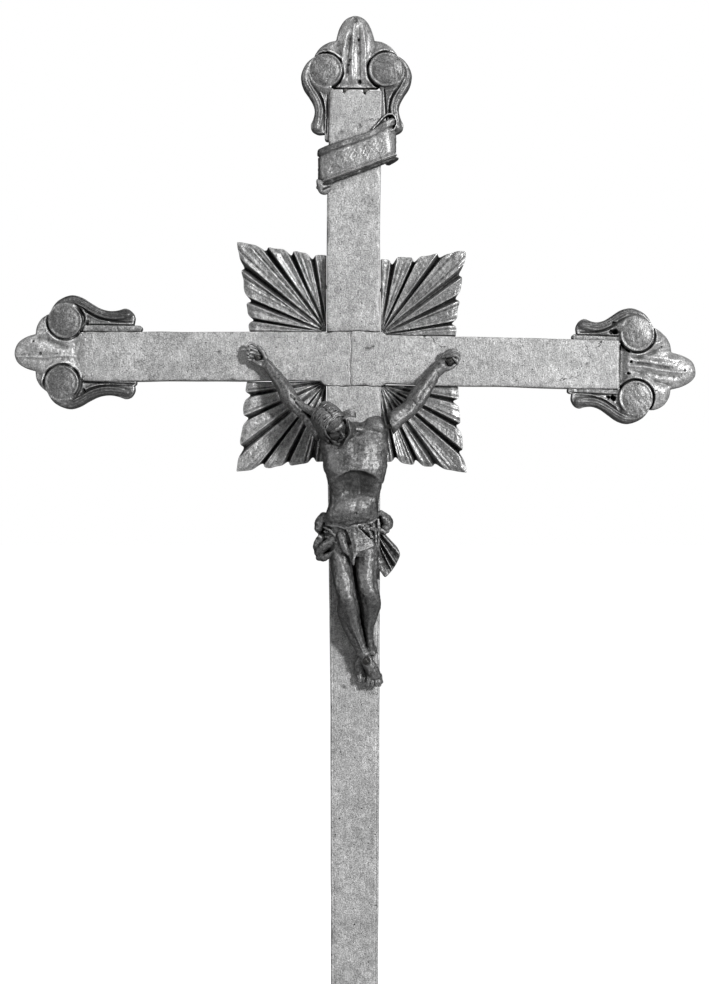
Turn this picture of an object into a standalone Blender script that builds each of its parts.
"""A processional cross of silvered wood, built as the joiner and the carver built it.

A long upright and two crossarms meet in a lap joint at the crossing. Each of the three upper
ends carries a carved leaf between two scrolls, four ray panels fill the corners of the
crossing, a label band wraps the head of the upright, and a carved corpus is nailed on.

Units are metres. +Z is up, the front faces -Y, and left and right are the viewer's.
The origin is the centre of the tenon's end face, which drops into the socket of the staff.
"""

import math

import bmesh
import bpy
from mathutils import Matrix, Vector

MM = 0.001
GAP = 0.3 * MM  # what touching pieces keep between them

# The cross
CROSSING_Z = 640 * MM  # the tenon's end face to the crossing's centre
ARM_LENGTH = 238 * MM  # the crossing's centre to the end of each upper arm
BEAM_DEPTH = 24 * MM
LAP_DEPTH = BEAM_DEPTH / 2
UPRIGHT_WIDTH = 47 * MM  # at the crossing
UPRIGHT_FOOT_WIDTH = 41 * MM
UPRIGHT_TOP_WIDTH = 46 * MM
UPRIGHT_TOP_SHIFT = 2 * MM  # the upright is not quite straight
HEAD_LENGTH = 90 * MM  # the upright's top stretch, whose edges are parallel
ARM_HEIGHT = 43.4 * MM
LEFT_ARM_RISE = 2 * MM
RIGHT_ARM_DROOP = math.radians(1.4)
LAP_TOP = 24 * MM  # above the crossing's centre
LAP_BOTTOM = -24.6 * MM
LAP_NECK = 6 * MM  # how soon an arm takes its own height, outside the lap
SEAM_X = -2.2 * MM  # where the tongues of the two arms meet
TENON_LENGTH = 55 * MM
TENON_WIDTH = 30 * MM
BEAM_FRONT = -BEAM_DEPTH / 2

# Pegs, dowels, pins and nails
PEG_RADIUS = 3 * MM
DOWEL_RADIUS = 2.5 * MM
PIN_RADIUS = 1.5 * MM
STAFF_PIN_HOLE_RADIUS = 4 * MM
NAIL_SEAT = 8 * MM  # what is cleared in front of a nail's head
NAIL_HEAD = 2.3 * MM
ROUND_STEPS = 12

# Carvings
LEAF_DEPTH = 16 * MM
SCROLL_DEPTH = 20 * MM
EYE_DEPTH = 26 * MM
EYE_RADIUS = 13.5 * MM
RAY_DEPTH = 12 * MM
RAY_RELIEF = 5 * MM
RAY_COUNT = 9
BAND_THICKNESS = 4 * MM
BAND_HEIGHT = 33 * MM
BAND_SLOPE = 0.36  # how far the band climbs for each step to the right
BAND_Z = CROSSING_Z + 178 * MM
BAND_LEFT, BAND_RIGHT = -31 * MM, 38 * MM  # how far its turned sides stand out

# The corpus
CROSS_FACE = BEAM_FRONT - GAP  # what lies against the cross ends here
VOXEL = 1.8 * MM
SHOULDER_TILT = math.radians(17)  # the sawn faces of the shoulders lean in at the top
SHOULDER_RADIUS = 2 * MM
PEG_DEPTH = 15 * MM  # how far the peg behind the loins goes into them
CORPUS_PEG_Z = CROSSING_Z - 146 * MM

PARTS = "processional_cross"
CUTTERS = "cutters"

MATERIALS = {
    "silvered_wood": ((0.56, 0.56, 0.55), 0.55, 0.38),
    "silvered_carving": ((0.42, 0.42, 0.41), 0.6, 0.36),
    "ray_carving": ((0.27, 0.27, 0.26), 0.6, 0.36),
    "corpus_patina": ((0.15, 0.148, 0.144), 0.35, 0.42),
    "nail_iron": ((0.06, 0.06, 0.06), 0.8, 0.5),
    "bare_wood": ((0.33, 0.27, 0.2), 0.0, 0.75),
}


# --- Tools -----------------------------------------------------------------------------


def clear_scene():
    for obj in list(bpy.data.objects):
        bpy.data.objects.remove(obj)
    for name in (PARTS, CUTTERS):
        bpy.context.scene.collection.children.link(bpy.data.collections.new(name))


def make_material(name, colour, metallic, roughness):
    made = bpy.data.materials.new(name)
    made.use_nodes = True
    shader = made.node_tree.nodes["Principled BSDF"]
    shader.inputs["Base Color"].default_value = (*colour, 1)
    shader.inputs["Metallic"].default_value = metallic
    shader.inputs["Roughness"].default_value = roughness
    return made


def add_object(name, mesh, material=None):
    """Links mesh as a part of that material or, with none, as a cutter."""
    obj = bpy.data.objects.new(name, mesh)
    bpy.data.collections[PARTS if material else CUTTERS].objects.link(obj)
    if material:
        mesh.materials.clear()
        mesh.materials.append(bpy.data.materials[material])
    else:
        obj.hide_render = True
        obj.display_type = "WIRE"
    return obj


def object_from_bmesh(name, bm, material=None):
    mesh = bpy.data.meshes.new(name)
    bm.to_mesh(mesh)
    bm.free()
    return add_object(name, mesh, material)


def plate(name, outline, front, back, material=None):
    """A flat outline of (x, z) points, solid from y = front to y = back."""
    bm = bmesh.new()
    face = bm.faces.new([bm.verts.new((x, front, z)) for x, z in outline])
    raised = bmesh.ops.extrude_face_region(bm, geom=[face])
    moved = [v for v in raised["geom"] if isinstance(v, bmesh.types.BMVert)]
    bmesh.ops.translate(bm, vec=(0, back - front, 0), verts=moved)
    bmesh.ops.recalc_face_normals(bm, faces=bm.faces)
    return object_from_bmesh(name, bm, material)


def box(name, low, high, material=None):
    bm = bmesh.new()
    bmesh.ops.create_cube(bm, size=1)
    low, high = Vector(low), Vector(high)
    size = Matrix.Diagonal((*(high - low), 1))
    bmesh.ops.transform(bm, matrix=Matrix.Translation((low + high) / 2) @ size, verts=bm.verts)
    return object_from_bmesh(name, bm, material)


def add_cone(bm, start, end, start_radius, end_radius, segments=ROUND_STEPS):
    """A capped cone or cylinder between two points."""
    start, end = Vector(start), Vector(end)
    along = end - start
    turn = along.to_track_quat("Z", "Y").to_matrix().to_4x4()
    bmesh.ops.create_cone(
        bm,
        cap_ends=True,
        segments=segments,
        radius1=start_radius,
        radius2=end_radius,
        depth=along.length,
        matrix=Matrix.Translation((start + end) / 2) @ turn,
    )


def rod(name, start, end, radius, material=None):
    bm = bmesh.new()
    add_cone(bm, start, end, radius, radius)
    obj = object_from_bmesh(name, bm, material)
    obj.data.shade_smooth()
    obj.data.set_sharp_from_angle(angle=math.radians(40))
    return obj


def cut(piece, cutter):
    modifier = piece.modifiers.new("cut_" + cutter.name, "BOOLEAN")
    modifier.operation = "DIFFERENCE"
    modifier.solver = "EXACT"
    modifier.object = cutter


def dowel(name, start, end, radius, *pieces, material="bare_wood"):
    """A round pin from start to end, and the hole for it in each of the pieces."""
    start, end = Vector(start), Vector(end)
    clear = (end - start).normalized() * GAP
    hole = rod(name + "_hole", start - clear, end + clear, radius + GAP)
    for piece in pieces:
        cut(piece, hole)
    return rod(name, start, end, radius, material)


def nail(name, head, direction, length, head_radius, *pieces):
    """A forged nail: a turned profile on its own axis, a hole in each piece below its head, and
    a flat seat for the head in the first."""
    shank_radius = 0.45 * head_radius
    head_height = 0.6 * head_radius
    profile = [
        (0, head_height),
        (0.7 * head_radius, 0.75 * head_height),
        (head_radius, 0.2 * head_height),
        (head_radius, 0),
        (shank_radius, 0),
        (shank_radius, -0.75 * length),
        (0, -length),
    ]
    bm = bmesh.new()
    points = [bm.verts.new((x, 0, z)) for x, z in profile]
    for first, second in zip(points, points[1:]):
        bm.edges.new((first, second))
    obj = object_from_bmesh(name, bm, "nail_iron")
    turned = obj.modifiers.new("turned", "SCREW")
    turned.steps = turned.render_steps = ROUND_STEPS
    turned.use_merge_vertices = True
    turned.merge_threshold = 0.01 * MM
    direction = Vector(direction).normalized()
    obj.rotation_mode = "QUATERNION"
    obj.rotation_quaternion = (-direction).to_track_quat("Z", "Y")
    obj.location = head
    head = Vector(head)
    hole = rod(name + "_hole", head, head + direction * (length + GAP), shank_radius + GAP)
    seat = rod(
        name + "_seat", head - direction * NAIL_SEAT, head + direction * GAP, head_radius + GAP
    )
    for piece in pieces:
        cut(piece, hole)
    cut(pieces[0], seat)
    return obj


def smooth_loop(points, steps=4, sharp=()):
    """A closed outline as a Catmull-Rom curve through points, straight into each sharp corner."""
    found = []
    count = len(points)
    for i in range(count):
        p1, p2 = Vector(points[i]), Vector(points[(i + 1) % count])
        p0 = p1 if i in sharp else Vector(points[i - 1])
        p3 = p2 if (i + 1) % count in sharp else Vector(points[(i + 2) % count])
        if i in sharp and (i + 1) % count in sharp:
            found.append(p1)
            continue
        for step in range(steps):
            t = step / steps
            found.append(
                0.5
                * (
                    2 * p1
                    + (p2 - p0) * t
                    + (2 * p0 - 5 * p1 + 4 * p2 - p3) * t**2
                    + (3 * p1 - p0 - 3 * p2 + p3) * t**3
                )
            )
    return found


def grown(outline, distance):
    """The closed outline moved outwards by distance."""
    area = sum(a.x * b.y - b.x * a.y for a, b in zip(outline, outline[1:] + outline[:1]))
    outward = math.copysign(distance, area)
    moved = []
    for before, point, after in zip(outline[-1:] + outline, outline, outline[1:] + outline[:1]):
        along = (after - before).normalized()
        moved.append(point + Vector((along.y, -along.x)) * outward)
    return moved


# --- The joiner's work -----------------------------------------------------------------


def make_upright():
    half_top, half_mid, half_foot = UPRIGHT_TOP_WIDTH / 2, UPRIGHT_WIDTH / 2, UPRIGHT_FOOT_WIDTH / 2
    top = CROSSING_Z + ARM_LENGTH
    outline = [
        (UPRIGHT_TOP_SHIFT - half_top, top),
        (UPRIGHT_TOP_SHIFT - half_top, top - HEAD_LENGTH),
        (-half_mid, CROSSING_Z + 60 * MM),
        (-half_mid, CROSSING_Z - 60 * MM),
        (-half_foot, TENON_LENGTH),
        (-TENON_WIDTH / 2, TENON_LENGTH),
        (-TENON_WIDTH / 2, 0),
        (TENON_WIDTH / 2, 0),
        (TENON_WIDTH / 2, TENON_LENGTH),
        (half_foot, TENON_LENGTH),
        (half_mid, CROSSING_Z - 60 * MM),
        (half_mid, CROSSING_Z + 60 * MM),
        (UPRIGHT_TOP_SHIFT + half_top, top - HEAD_LENGTH),
        (UPRIGHT_TOP_SHIFT + half_top, top),
    ]
    upright = plate("upright", outline, -BEAM_DEPTH / 2, BEAM_DEPTH / 2, "silvered_wood")
    reach = UPRIGHT_WIDTH
    lap = box(
        "lap_notch",
        (-reach, -BEAM_DEPTH, CROSSING_Z + LAP_BOTTOM),
        (reach, GAP / 2, CROSSING_Z + LAP_TOP),
    )
    cut(upright, lap)
    pin_z = TENON_LENGTH / 2
    staff_pin = rod(
        "staff_pin_hole", (0, -BEAM_DEPTH, pin_z), (0, BEAM_DEPTH, pin_z), STAFF_PIN_HOLE_RADIUS
    )
    cut(upright, staff_pin)
    return upright


def make_crossarm(name, side, end):
    """An arm with its lap tongue. side is -1 for left and 1 for right; end is its Terminal."""
    root = side * (UPRIGHT_WIDTH / 2 + GAP)
    half = ARM_HEIGHT / 2
    tongue_top = CROSSING_Z + LAP_TOP - GAP
    tongue_bottom = CROSSING_Z + LAP_BOTTOM + GAP
    neck = root + side * 1 * MM  # where the tongue's height ends, clear of the notch's end
    shoulder = root + side * LAP_NECK
    fall = (shoulder - end.point.x) * math.tan(end.angle)
    root_z = end.point.y + fall
    outline = [
        (SEAM_X + side * GAP / 2, tongue_top),
        (neck, tongue_top),
        (shoulder, root_z + half),
        tuple(end.at(0, side * half)),
        tuple(end.at(0, -side * half)),
        (shoulder, root_z - half),
        (neck, tongue_bottom),
        (SEAM_X + side * GAP / 2, tongue_bottom),
    ]
    arm = plate(name, outline, -BEAM_DEPTH / 2, BEAM_DEPTH / 2, "silvered_wood")
    inner, outer = sorted((SEAM_X - side * 2 * MM, root))
    behind = box(
        name + "_tongue_notch",
        (inner, -GAP / 2, CROSSING_Z - UPRIGHT_WIDTH),
        (outer, BEAM_DEPTH, CROSSING_Z + UPRIGHT_WIDTH),
    )
    cut(arm, behind)
    return arm


def peg_the_lap(upright, arms):
    """Two pegs through the back of the upright into each arm's tongue, short of the front."""
    for arm, side in zip(arms, (-1, 1)):
        for label, out, height in (("upper", 12 * MM, 12 * MM), ("lower", 10 * MM, -13 * MM)):
            x, z = side * out, CROSSING_Z + height
            dowel(
                f"lap_peg_{arm.name.split('_')[1]}_{label}",
                (x, BEAM_DEPTH / 2, z),
                (x, BEAM_FRONT + 4 * MM, z),
                PEG_RADIUS,
                upright,
                arm,
            )


# --- The carved ends -------------------------------------------------------------------


class Terminal:
    """The end of an arm: a point and a direction, with u outwards along it and v across it."""

    def __init__(self, name, x, z, degrees, half_width, reach):
        self.name = name
        self.point = Vector((x, z))
        self.angle = math.radians(degrees)
        self.half_width = half_width
        self.reach = reach  # the size of its scrolls, beside the usual 1

    def at(self, u, v):
        turn = Matrix.Rotation(self.angle, 2)
        return self.point + turn @ Vector((u, v))


LEFT_END = Terminal("left", -ARM_LENGTH, CROSSING_Z + LEFT_ARM_RISE, 180, ARM_HEIGHT / 2, 1.0)
RIGHT_END = Terminal(
    "right",
    ARM_LENGTH,
    CROSSING_Z - ARM_LENGTH * math.tan(RIGHT_ARM_DROOP),
    -math.degrees(RIGHT_ARM_DROOP),
    ARM_HEIGHT / 2,
    0.97,
)
TOP_END = Terminal(
    "top", UPRIGHT_TOP_SHIFT, CROSSING_Z + ARM_LENGTH, 90, UPRIGHT_TOP_WIDTH / 2, 0.88
)

# One scroll from the beam's side round its eye to the foot of its tail, in mm. u runs
# outwards from the arm's end, and v outwards from the arm's own edge.
SCROLL_POINTS = [
    (2, 0),
    (13, -5),
    (22, -1),
    (28, 8),
    (27.5, 17),
    (22, 26),
    (12, 31),
    (2, 31.5),
    (-8, 27),
    (-19, 20.5),
    (-30, 19.5),
    (-38, 20.5),
    (-43, 17),
    (-45.5, 9),
    (-46, 0),
]
SCROLL_SHARP = (0, len(SCROLL_POINTS) - 1)
EYE_CENTRE = (13, 12.5)

# Half of a leaf from its root to its tip, in mm.
LEAF_POINTS = [
    (0, 19),
    (12, 33),
    (26, 37.5),
    (36, 32),
    (41.5, 24),
    (42.5, 16.5),
    (51, 13.8),
    (58.5, 8.6),
    (62.5, 0),
]


def scroll_outline(terminal, side):
    """The closed outline of the scroll on the +v or -v side of a terminal."""
    edge, reach = terminal.half_width + GAP, terminal.reach
    placed = [
        terminal.at(u * MM * (reach if u < 0 else 1), side * (edge + v * MM * reach))
        for u, v in SCROLL_POINTS
    ]
    return smooth_loop(placed, steps=3, sharp=SCROLL_SHARP)


def leaf_outline(terminal):
    upper = [(u * MM, v * MM) for u, v in LEAF_POINTS]
    lower = [(u, -v) for u, v in reversed(upper[:-1])]
    placed = [terminal.at(u + GAP, v) for u, v in upper + lower]
    return smooth_loop(placed, steps=3, sharp=(0, 5, len(placed) - 6, len(placed) - 1))


def make_scroll(terminal, side, label, beam):
    outline = scroll_outline(terminal, side)
    name = f"scroll_{terminal.name}_{label}"
    scroll = plate(name, outline, -SCROLL_DEPTH / 2, SCROLL_DEPTH / 2, "silvered_carving")
    edge = terminal.half_width + GAP
    eye = terminal.at(EYE_CENTRE[0] * MM, side * (edge + EYE_CENTRE[1] * MM * terminal.reach))
    disc = rod(
        name + "_eye", (eye.x, -EYE_DEPTH / 2, eye.y), (eye.x, EYE_DEPTH / 2, eye.y), EYE_RADIUS
    )
    raised = scroll.modifiers.new("eye", "BOOLEAN")
    raised.operation = "UNION"
    raised.solver = "EXACT"
    raised.object = disc
    start = terminal.at(-24 * MM, side * (terminal.half_width - 10 * MM))
    end = terminal.at(-24 * MM, side * (terminal.half_width + 10 * MM))
    dowel(
        f"scroll_dowel_{terminal.name}_{label}",
        (start.x, 0, start.y),
        (end.x, 0, end.y),
        DOWEL_RADIUS,
        beam,
        scroll,
    )
    return plate(name + "_clearance", grown(outline, GAP), -LEAF_DEPTH, LEAF_DEPTH)


def make_leaf(terminal, beam, clearances):
    name = f"leaf_{terminal.name}"
    outline = leaf_outline(terminal)
    leaf = plate(name, outline, -LEAF_DEPTH / 2, LEAF_DEPTH / 2, "silvered_carving")
    for clearance in clearances:
        cut(leaf, clearance)
    for label, v in (("a", -9 * MM), ("b", 9 * MM)):
        start, end = terminal.at(-14 * MM, v), terminal.at(14 * MM, v)
        dowel(
            f"leaf_dowel_{terminal.name}_{label}",
            (start.x, 0, start.y),
            (end.x, 0, end.y),
            DOWEL_RADIUS,
            beam,
            leaf,
        )


def make_terminal(terminal, beam, labels):
    """The carved end of one arm. labels name its scrolls on the +v and the -v side."""
    clearances = [
        make_scroll(terminal, side, label, beam) for side, label in zip((1, -1), labels)
    ]
    make_leaf(terminal, beam, clearances)


# --- The rays --------------------------------------------------------------------------


def make_ray_panel(name, side, rise, corner, slope, upright, arm):
    """A pleated fan from its corner of the crossing, with a square outer edge and a drawn-out tip.

    side and rise are the way it spreads from the corner. slope is the arm's.
    """
    near, far = 65 * MM, 77 * MM  # out along each beam, and out to the tip
    nudge = 0.5 * MM
    scallop = 3.5 * MM
    steps = 2 * RAY_COUNT
    ridge, valley = -RAY_DEPTH / 2, -RAY_DEPTH / 2 + RAY_RELIEF

    def placed(across, depth, up):
        return corner.x + side * (nudge + across), depth, corner.y + slope * across + rise * (nudge + up)

    points = []
    for i in range(steps + 1):
        angle = math.radians(90) * i / steps
        lean = min(math.tan(angle), 1 / math.tan(angle) if angle > 0 else 0)
        notch = scallop if i % 2 == 0 and 0 < i < steps else 0
        reach = (near + (far - near) * lean - notch) / max(math.cos(angle), math.sin(angle))
        depth = ridge if i % 2 else valley
        points.append(placed(reach * math.cos(angle), depth, reach * math.sin(angle)))
    bm = bmesh.new()
    root = bm.verts.new(placed(0, valley, 0))
    rim = [bm.verts.new(point) for point in points]
    fan = [bm.faces.new((root, a, b)) for a, b in zip(rim, rim[1:])]
    back = bmesh.ops.extrude_face_region(bm, geom=fan)
    for vert in (v for v in back["geom"] if isinstance(v, bmesh.types.BMVert)):
        vert.co.y = RAY_DEPTH / 2
    bmesh.ops.recalc_face_normals(bm, faces=bm.faces)
    panel = object_from_bmesh(name, bm, "ray_carving")
    pin_depth, along, into = 3 * MM, 40 * MM, 8 * MM
    x, z = corner.x + side * along, corner.y + rise * along
    pin = name.replace("panel", "pin")
    dowel(
        pin + "_upright",
        (corner.x - side * into, pin_depth, z),
        (corner.x + side * into, pin_depth, z),
        PIN_RADIUS,
        upright,
        panel,
    )
    edge = corner.y + slope * along
    dowel(
        pin + "_arm",
        (x, pin_depth, edge - rise * into),
        (x, pin_depth, edge + rise * into),
        PIN_RADIUS,
        arm,
        panel,
    )
    return panel


def make_rays(upright, left_arm, right_arm):
    half, edge = ARM_HEIGHT / 2, UPRIGHT_WIDTH / 2
    droop = -math.tan(RIGHT_ARM_DROOP)
    for label, side, arm, middle, slope in (
        ("left", -1, left_arm, CROSSING_Z + LEFT_ARM_RISE, 0),
        ("right", 1, right_arm, CROSSING_Z + droop * edge, droop),
    ):
        inner, outer = sorted((side * (edge - 1 * MM), side * (edge + LAP_NECK + 2 * GAP)))
        neck = box(
            f"lap_neck_clearance_{label}",
            (inner, -BEAM_DEPTH, CROSSING_Z + LAP_BOTTOM - GAP),
            (outer, BEAM_DEPTH, CROSSING_Z + LAP_TOP + GAP),
        )
        for row, rise in (("upper", 1), ("lower", -1)):
            corner = Vector((side * edge, middle + rise * half))
            name = f"ray_panel_{row}_{label}"
            cut(make_ray_panel(name, side, rise, corner, slope, upright, arm), neck)


# --- The label band --------------------------------------------------------------------


def make_band(upright):
    """A ribbon round the front and sides of the upright's head, climbing to the right."""
    clear = 0.4 * MM
    left = UPRIGHT_TOP_SHIFT - UPRIGHT_TOP_WIDTH / 2 - clear
    right = UPRIGHT_TOP_SHIFT + UPRIGHT_TOP_WIDTH / 2 + clear
    inner = BEAM_FRONT - clear
    front = inner - BAND_THICKNESS
    turn = 5 * MM  # the radius of the ribbon's turn round each edge
    section = [
        (left, BEAM_DEPTH / 2),
        (left, inner),
        (right, inner),
        (right, BEAM_DEPTH / 2),
        (right + BAND_THICKNESS, BEAM_DEPTH / 2),
        (BAND_RIGHT - 2 * MM, 4 * MM),
        (BAND_RIGHT, -4 * MM),
        (BAND_RIGHT - 2 * MM, front + turn),
        (BAND_RIGHT - 2 * turn, front),
        (BAND_LEFT + turn, front),
        (BAND_LEFT, front + turn),
        (BAND_LEFT, 0),
        (left - BAND_THICKNESS, BEAM_DEPTH / 2),
    ]
    bm = bmesh.new()
    low = [
        bm.verts.new((x, y, BAND_Z - BAND_HEIGHT / 2 + BAND_SLOPE * x)) for x, y in section
    ]
    face = bm.faces.new(low)
    raised = bmesh.ops.extrude_face_region(bm, geom=[face])
    moved = [v for v in raised["geom"] if isinstance(v, bmesh.types.BMVert)]
    bmesh.ops.translate(bm, vec=(0, 0, BAND_HEIGHT), verts=moved)
    bmesh.ops.recalc_face_normals(bm, faces=bm.faces)
    band = object_from_bmesh("titulus_band", bm, "silvered_carving")
    # Its upper right corner passes in front of the scroll's foot.
    foot = grown(scroll_outline(TOP_END, -1), GAP)
    front_of_scroll, behind = -SCROLL_DEPTH / 2 - GAP, BEAM_DEPTH
    cut(band, plate("scroll_foot_clearance", foot, front_of_scroll, behind))
    for label, side, edge in (("left", -1, left), ("right", 1, right)):
        head = edge + side * 3 * MM
        nail(
            f"titulus_nail_{label}",
            (head, 2 * MM, BAND_Z + BAND_SLOPE * edge),
            (-side, 0, 0),
            13 * MM,
            NAIL_HEAD,
            band,
            upright,
        )


# --- The corpus ------------------------------------------------------------------------

# Chains of (x, y, z, radius) in mm, from the crossing's centre.
TORSO_CHAINS = [
    [(-13, -36, -70, 14), (-12, -36, -90, 16), (-8, -32, -114, 13.5), (-9, -28, -136, 15)],
    [(14, -36, -68, 14), (13, -36, -88, 16), (10, -32, -114, 13.5), (11, -28, -136, 15)],
    [(-24, -34, -68, 9), (0, -36, -66, 10), (25, -34, -62, 9.5)],
    [(-9, -28, -136, 15), (-10, -25, -154, 14)],
    [(11, -28, -136, 15), (11, -25, -154, 14)],
]
HEAD_CHAINS = [
    [(1, -38, -64, 9), (-12, -48, -61, 8.5), (-23, -53, -51, 14)],
    [(-23, -53, -51, 14), (-17, -58, -63, 10.5), (-11, -57, -73, 6)],
    [(-15, -50, -52, 8), (-4, -46, -49, 5)],
]
LOINCLOTH_CHAINS = [
    [(-17, -30, -140, 8), (-27, -25, -145, 8.5)],
    [(-14, -30, -150, 11), (-26, -25, -166, 9.5)],
    [(14, -30, -142, 8), (27, -25, -143, 7.5)],
    [(-12, -40, -146, 6), (0, -45, -152, 6), (13, -42, -147, 6)],
    [(2, -45, -152, 8), (6, -44, -168, 7)],
]
LEG_CHAINS = [
    [(-10.5, -26, -158, 11), (-7.5, -42, -211, 9.5), (-1, -37, -232, 8.5), (7.5, -27, -257, 6)],
    [(11, -26, -158, 11), (13.5, -40, -205, 9.5), (15.5, -34, -230, 8), (14.5, -22, -258, 6)],
    [(9, -26, -258, 6.5), (11, -22, -272, 7.5), (14.5, -19, -285, 5.5)],
]
LEFT_ARM_CHAINS = [
    [(-20, -36.6, -73, 8), (-42, -29, -51, 7.5), (-55, -24, -38, 6.5)],
    [(-55, -24, -38, 6.5), (-64, -21.5, -26, 6.5), (-75, -19, -11, 4.5), (-84, -17.5, 0.4, 5)],
    [(-84, -17.5, 0.4, 5), (-90, -16.5, 9, 3.6)],
]
RIGHT_ARM_CHAINS = [
    [(20, -37, -69, 9), (42, -29, -50, 8), (56, -25, -38, 7.5)],
    [(56, -25, -38, 7.5), (64, -22, -27, 7), (74, -19, -14.5, 5), (86, -17.8, -0.4, 6)],
    [(86, -17.8, -0.4, 6), (91, -18, 5, 5)],
]
LEFT_SHOULDER = (-28, -34, -66)
RIGHT_SHOULDER = (28.6, -34, -61)
LEFT_PALM = (-84, 0.4)
RIGHT_PALM = (84.5, -2.5)
FOOT_NAIL = (11, -265.3)

# The free end of the loincloth, as it hangs behind the right thigh.
LOINCLOTH_END = [
    (23.5, -150),
    (29, -149.5),
    (36, -161),
    (41, -172),
    (39.5, -180),
    (29, -192),
    (24.5, -186),
]


def from_crossing(x, y, z):
    """A point in mm from the crossing's centre, in metres from the tenon's end."""
    return Vector((x * MM, y * MM, CROSSING_Z + z * MM))


def figure_part(name, chains, faces, material=None):
    """One carved form: balls and tapered lengths run together, with about that many faces."""
    bm = bmesh.new()
    for chain in chains:
        points = [(from_crossing(x, y, z), radius * MM) for x, y, z, radius in chain]
        for point, radius in points:
            place = Matrix.Translation(point)
            bmesh.ops.create_icosphere(bm, subdivisions=3, radius=radius, matrix=place)
        for (start, first), (end, last) in zip(points, points[1:]):
            add_cone(bm, start, end, first, last, segments=24)
    obj = object_from_bmesh(name, bm, material)
    remesh = obj.modifiers.new("one_surface", "REMESH")
    remesh.mode = "VOXEL"
    remesh.voxel_size = VOXEL
    smooth = obj.modifiers.new("eased", "SMOOTH")
    smooth.factor = 0.5
    smooth.iterations = 3
    graph = bpy.context.evaluated_depsgraph_get()
    made = obj.evaluated_get(graph).to_mesh()
    made.calc_loop_triangles()
    full = len(made.loop_triangles)
    obj.evaluated_get(graph).to_mesh_clear()
    lighter = obj.modifiers.new("lighter", "DECIMATE")
    lighter.ratio = min(1, faces / full)
    return obj


def half_space(name, point, normal, size=70 * MM, deep=None):
    """A cutter for all that lies beyond a point in the direction of normal."""
    bm = bmesh.new()
    bmesh.ops.create_cube(bm, size=1)
    normal = Vector(normal).normalized()
    deep = deep or size
    turn = normal.to_track_quat("Z", "Y").to_matrix().to_4x4()
    place = Matrix.Translation(Vector(point) + normal * deep / 2)
    shape = Matrix.Diagonal((size, size, deep, 1))
    bmesh.ops.transform(bm, matrix=place @ turn @ shape, verts=bm.verts)
    return object_from_bmesh(name, bm)


def make_corpus_arm(label, side, chains, shoulder, gap, palm, body, crossarm):
    arm = figure_part(f"corpus_arm_{label}", chains, 800, "corpus_patina")
    outward = Vector((side * math.cos(SHOULDER_TILT), 0, math.sin(SHOULDER_TILT)))
    centre = from_crossing(*shoulder)
    arm_face, body_face = centre + outward * gap / 2, centre - outward * gap / 2
    cut(arm, half_space(f"corpus_arm_{label}_sawn", arm_face, -outward))
    cut(body, half_space(f"shoulder_{label}_sawn", body_face, outward, 34 * MM, 25 * MM))
    cut(arm, bpy.data.objects["cross_face"])
    dowel(
        f"shoulder_dowel_{label}",
        centre - outward * 8 * MM,
        centre + outward * 8 * MM,
        SHOULDER_RADIUS,
        arm,
        body,
    )
    x, z = palm
    nail(
        f"hand_nail_{label}",
        from_crossing(x, -22.2, z),
        (0, 1, 0),
        17 * MM,
        NAIL_HEAD,
        arm,
        crossarm,
    )


def make_loincloth_end(body):
    """The cloth's loose end, let into the hip and held by a pin."""
    front, back = -26 * MM, -18 * MM
    outline = smooth_loop(
        [Vector((x * MM, CROSSING_Z + z * MM)) for x, z in LOINCLOTH_END], steps=3
    )
    end = plate("loincloth_end", outline, front, back, "corpus_patina")
    cut(body, plate("loincloth_end_clearance", grown(outline, GAP), front - GAP, back + GAP))
    dowel(
        "loincloth_pin",
        from_crossing(16, -22, -156),
        from_crossing(31, -22, -162),
        PIN_RADIUS,
        body,
        end,
    )


def make_corpus(upright, left_arm, right_arm):
    cross_face = half_space(
        "cross_face", (0, CROSS_FACE, CROSSING_Z - 130 * MM), (0, 1, 0), 400 * MM
    )
    chains = TORSO_CHAINS + LOINCLOTH_CHAINS + LEG_CHAINS
    body = figure_part("corpus_body", chains, 3000, "corpus_patina")
    head = figure_part("corpus_head_form", HEAD_CHAINS, 700)
    cut(body, cross_face)
    make_corpus_arm(
        "left", -1, LEFT_ARM_CHAINS, LEFT_SHOULDER, GAP, LEFT_PALM, body, left_arm
    )
    make_corpus_arm(
        "right", 1, RIGHT_ARM_CHAINS, RIGHT_SHOULDER, 2 * MM, RIGHT_PALM, body, right_arm
    )
    make_loincloth_end(body)
    joined = body.modifiers.new("head", "BOOLEAN")
    joined.operation = "UNION"
    joined.solver = "EXACT"
    joined.object = head
    dowel(
        "corpus_peg",
        (0, BEAM_DEPTH / 2, CORPUS_PEG_Z),
        (0, BEAM_FRONT - PEG_DEPTH, CORPUS_PEG_Z),
        PEG_RADIUS,
        upright,
        body,
    )
    x, z = FOOT_NAIL
    nail(
        "foot_nail", from_crossing(x, -28.5, z), (0, 1, 0), 23 * MM, NAIL_HEAD, body, upright
    )


clear_scene()
for slot, (colour, metallic, roughness) in MATERIALS.items():
    make_material(slot, colour, metallic, roughness)
upright = make_upright()
left_arm = make_crossarm("crossarm_left", -1, LEFT_END)
right_arm = make_crossarm("crossarm_right", 1, RIGHT_END)
peg_the_lap(upright, (left_arm, right_arm))
make_terminal(LEFT_END, left_arm, ("lower", "upper"))
make_terminal(RIGHT_END, right_arm, ("upper", "lower"))
make_terminal(TOP_END, upright, ("left", "right"))
make_rays(upright, left_arm, right_arm)
make_band(upright)
make_corpus(upright, left_arm, right_arm)
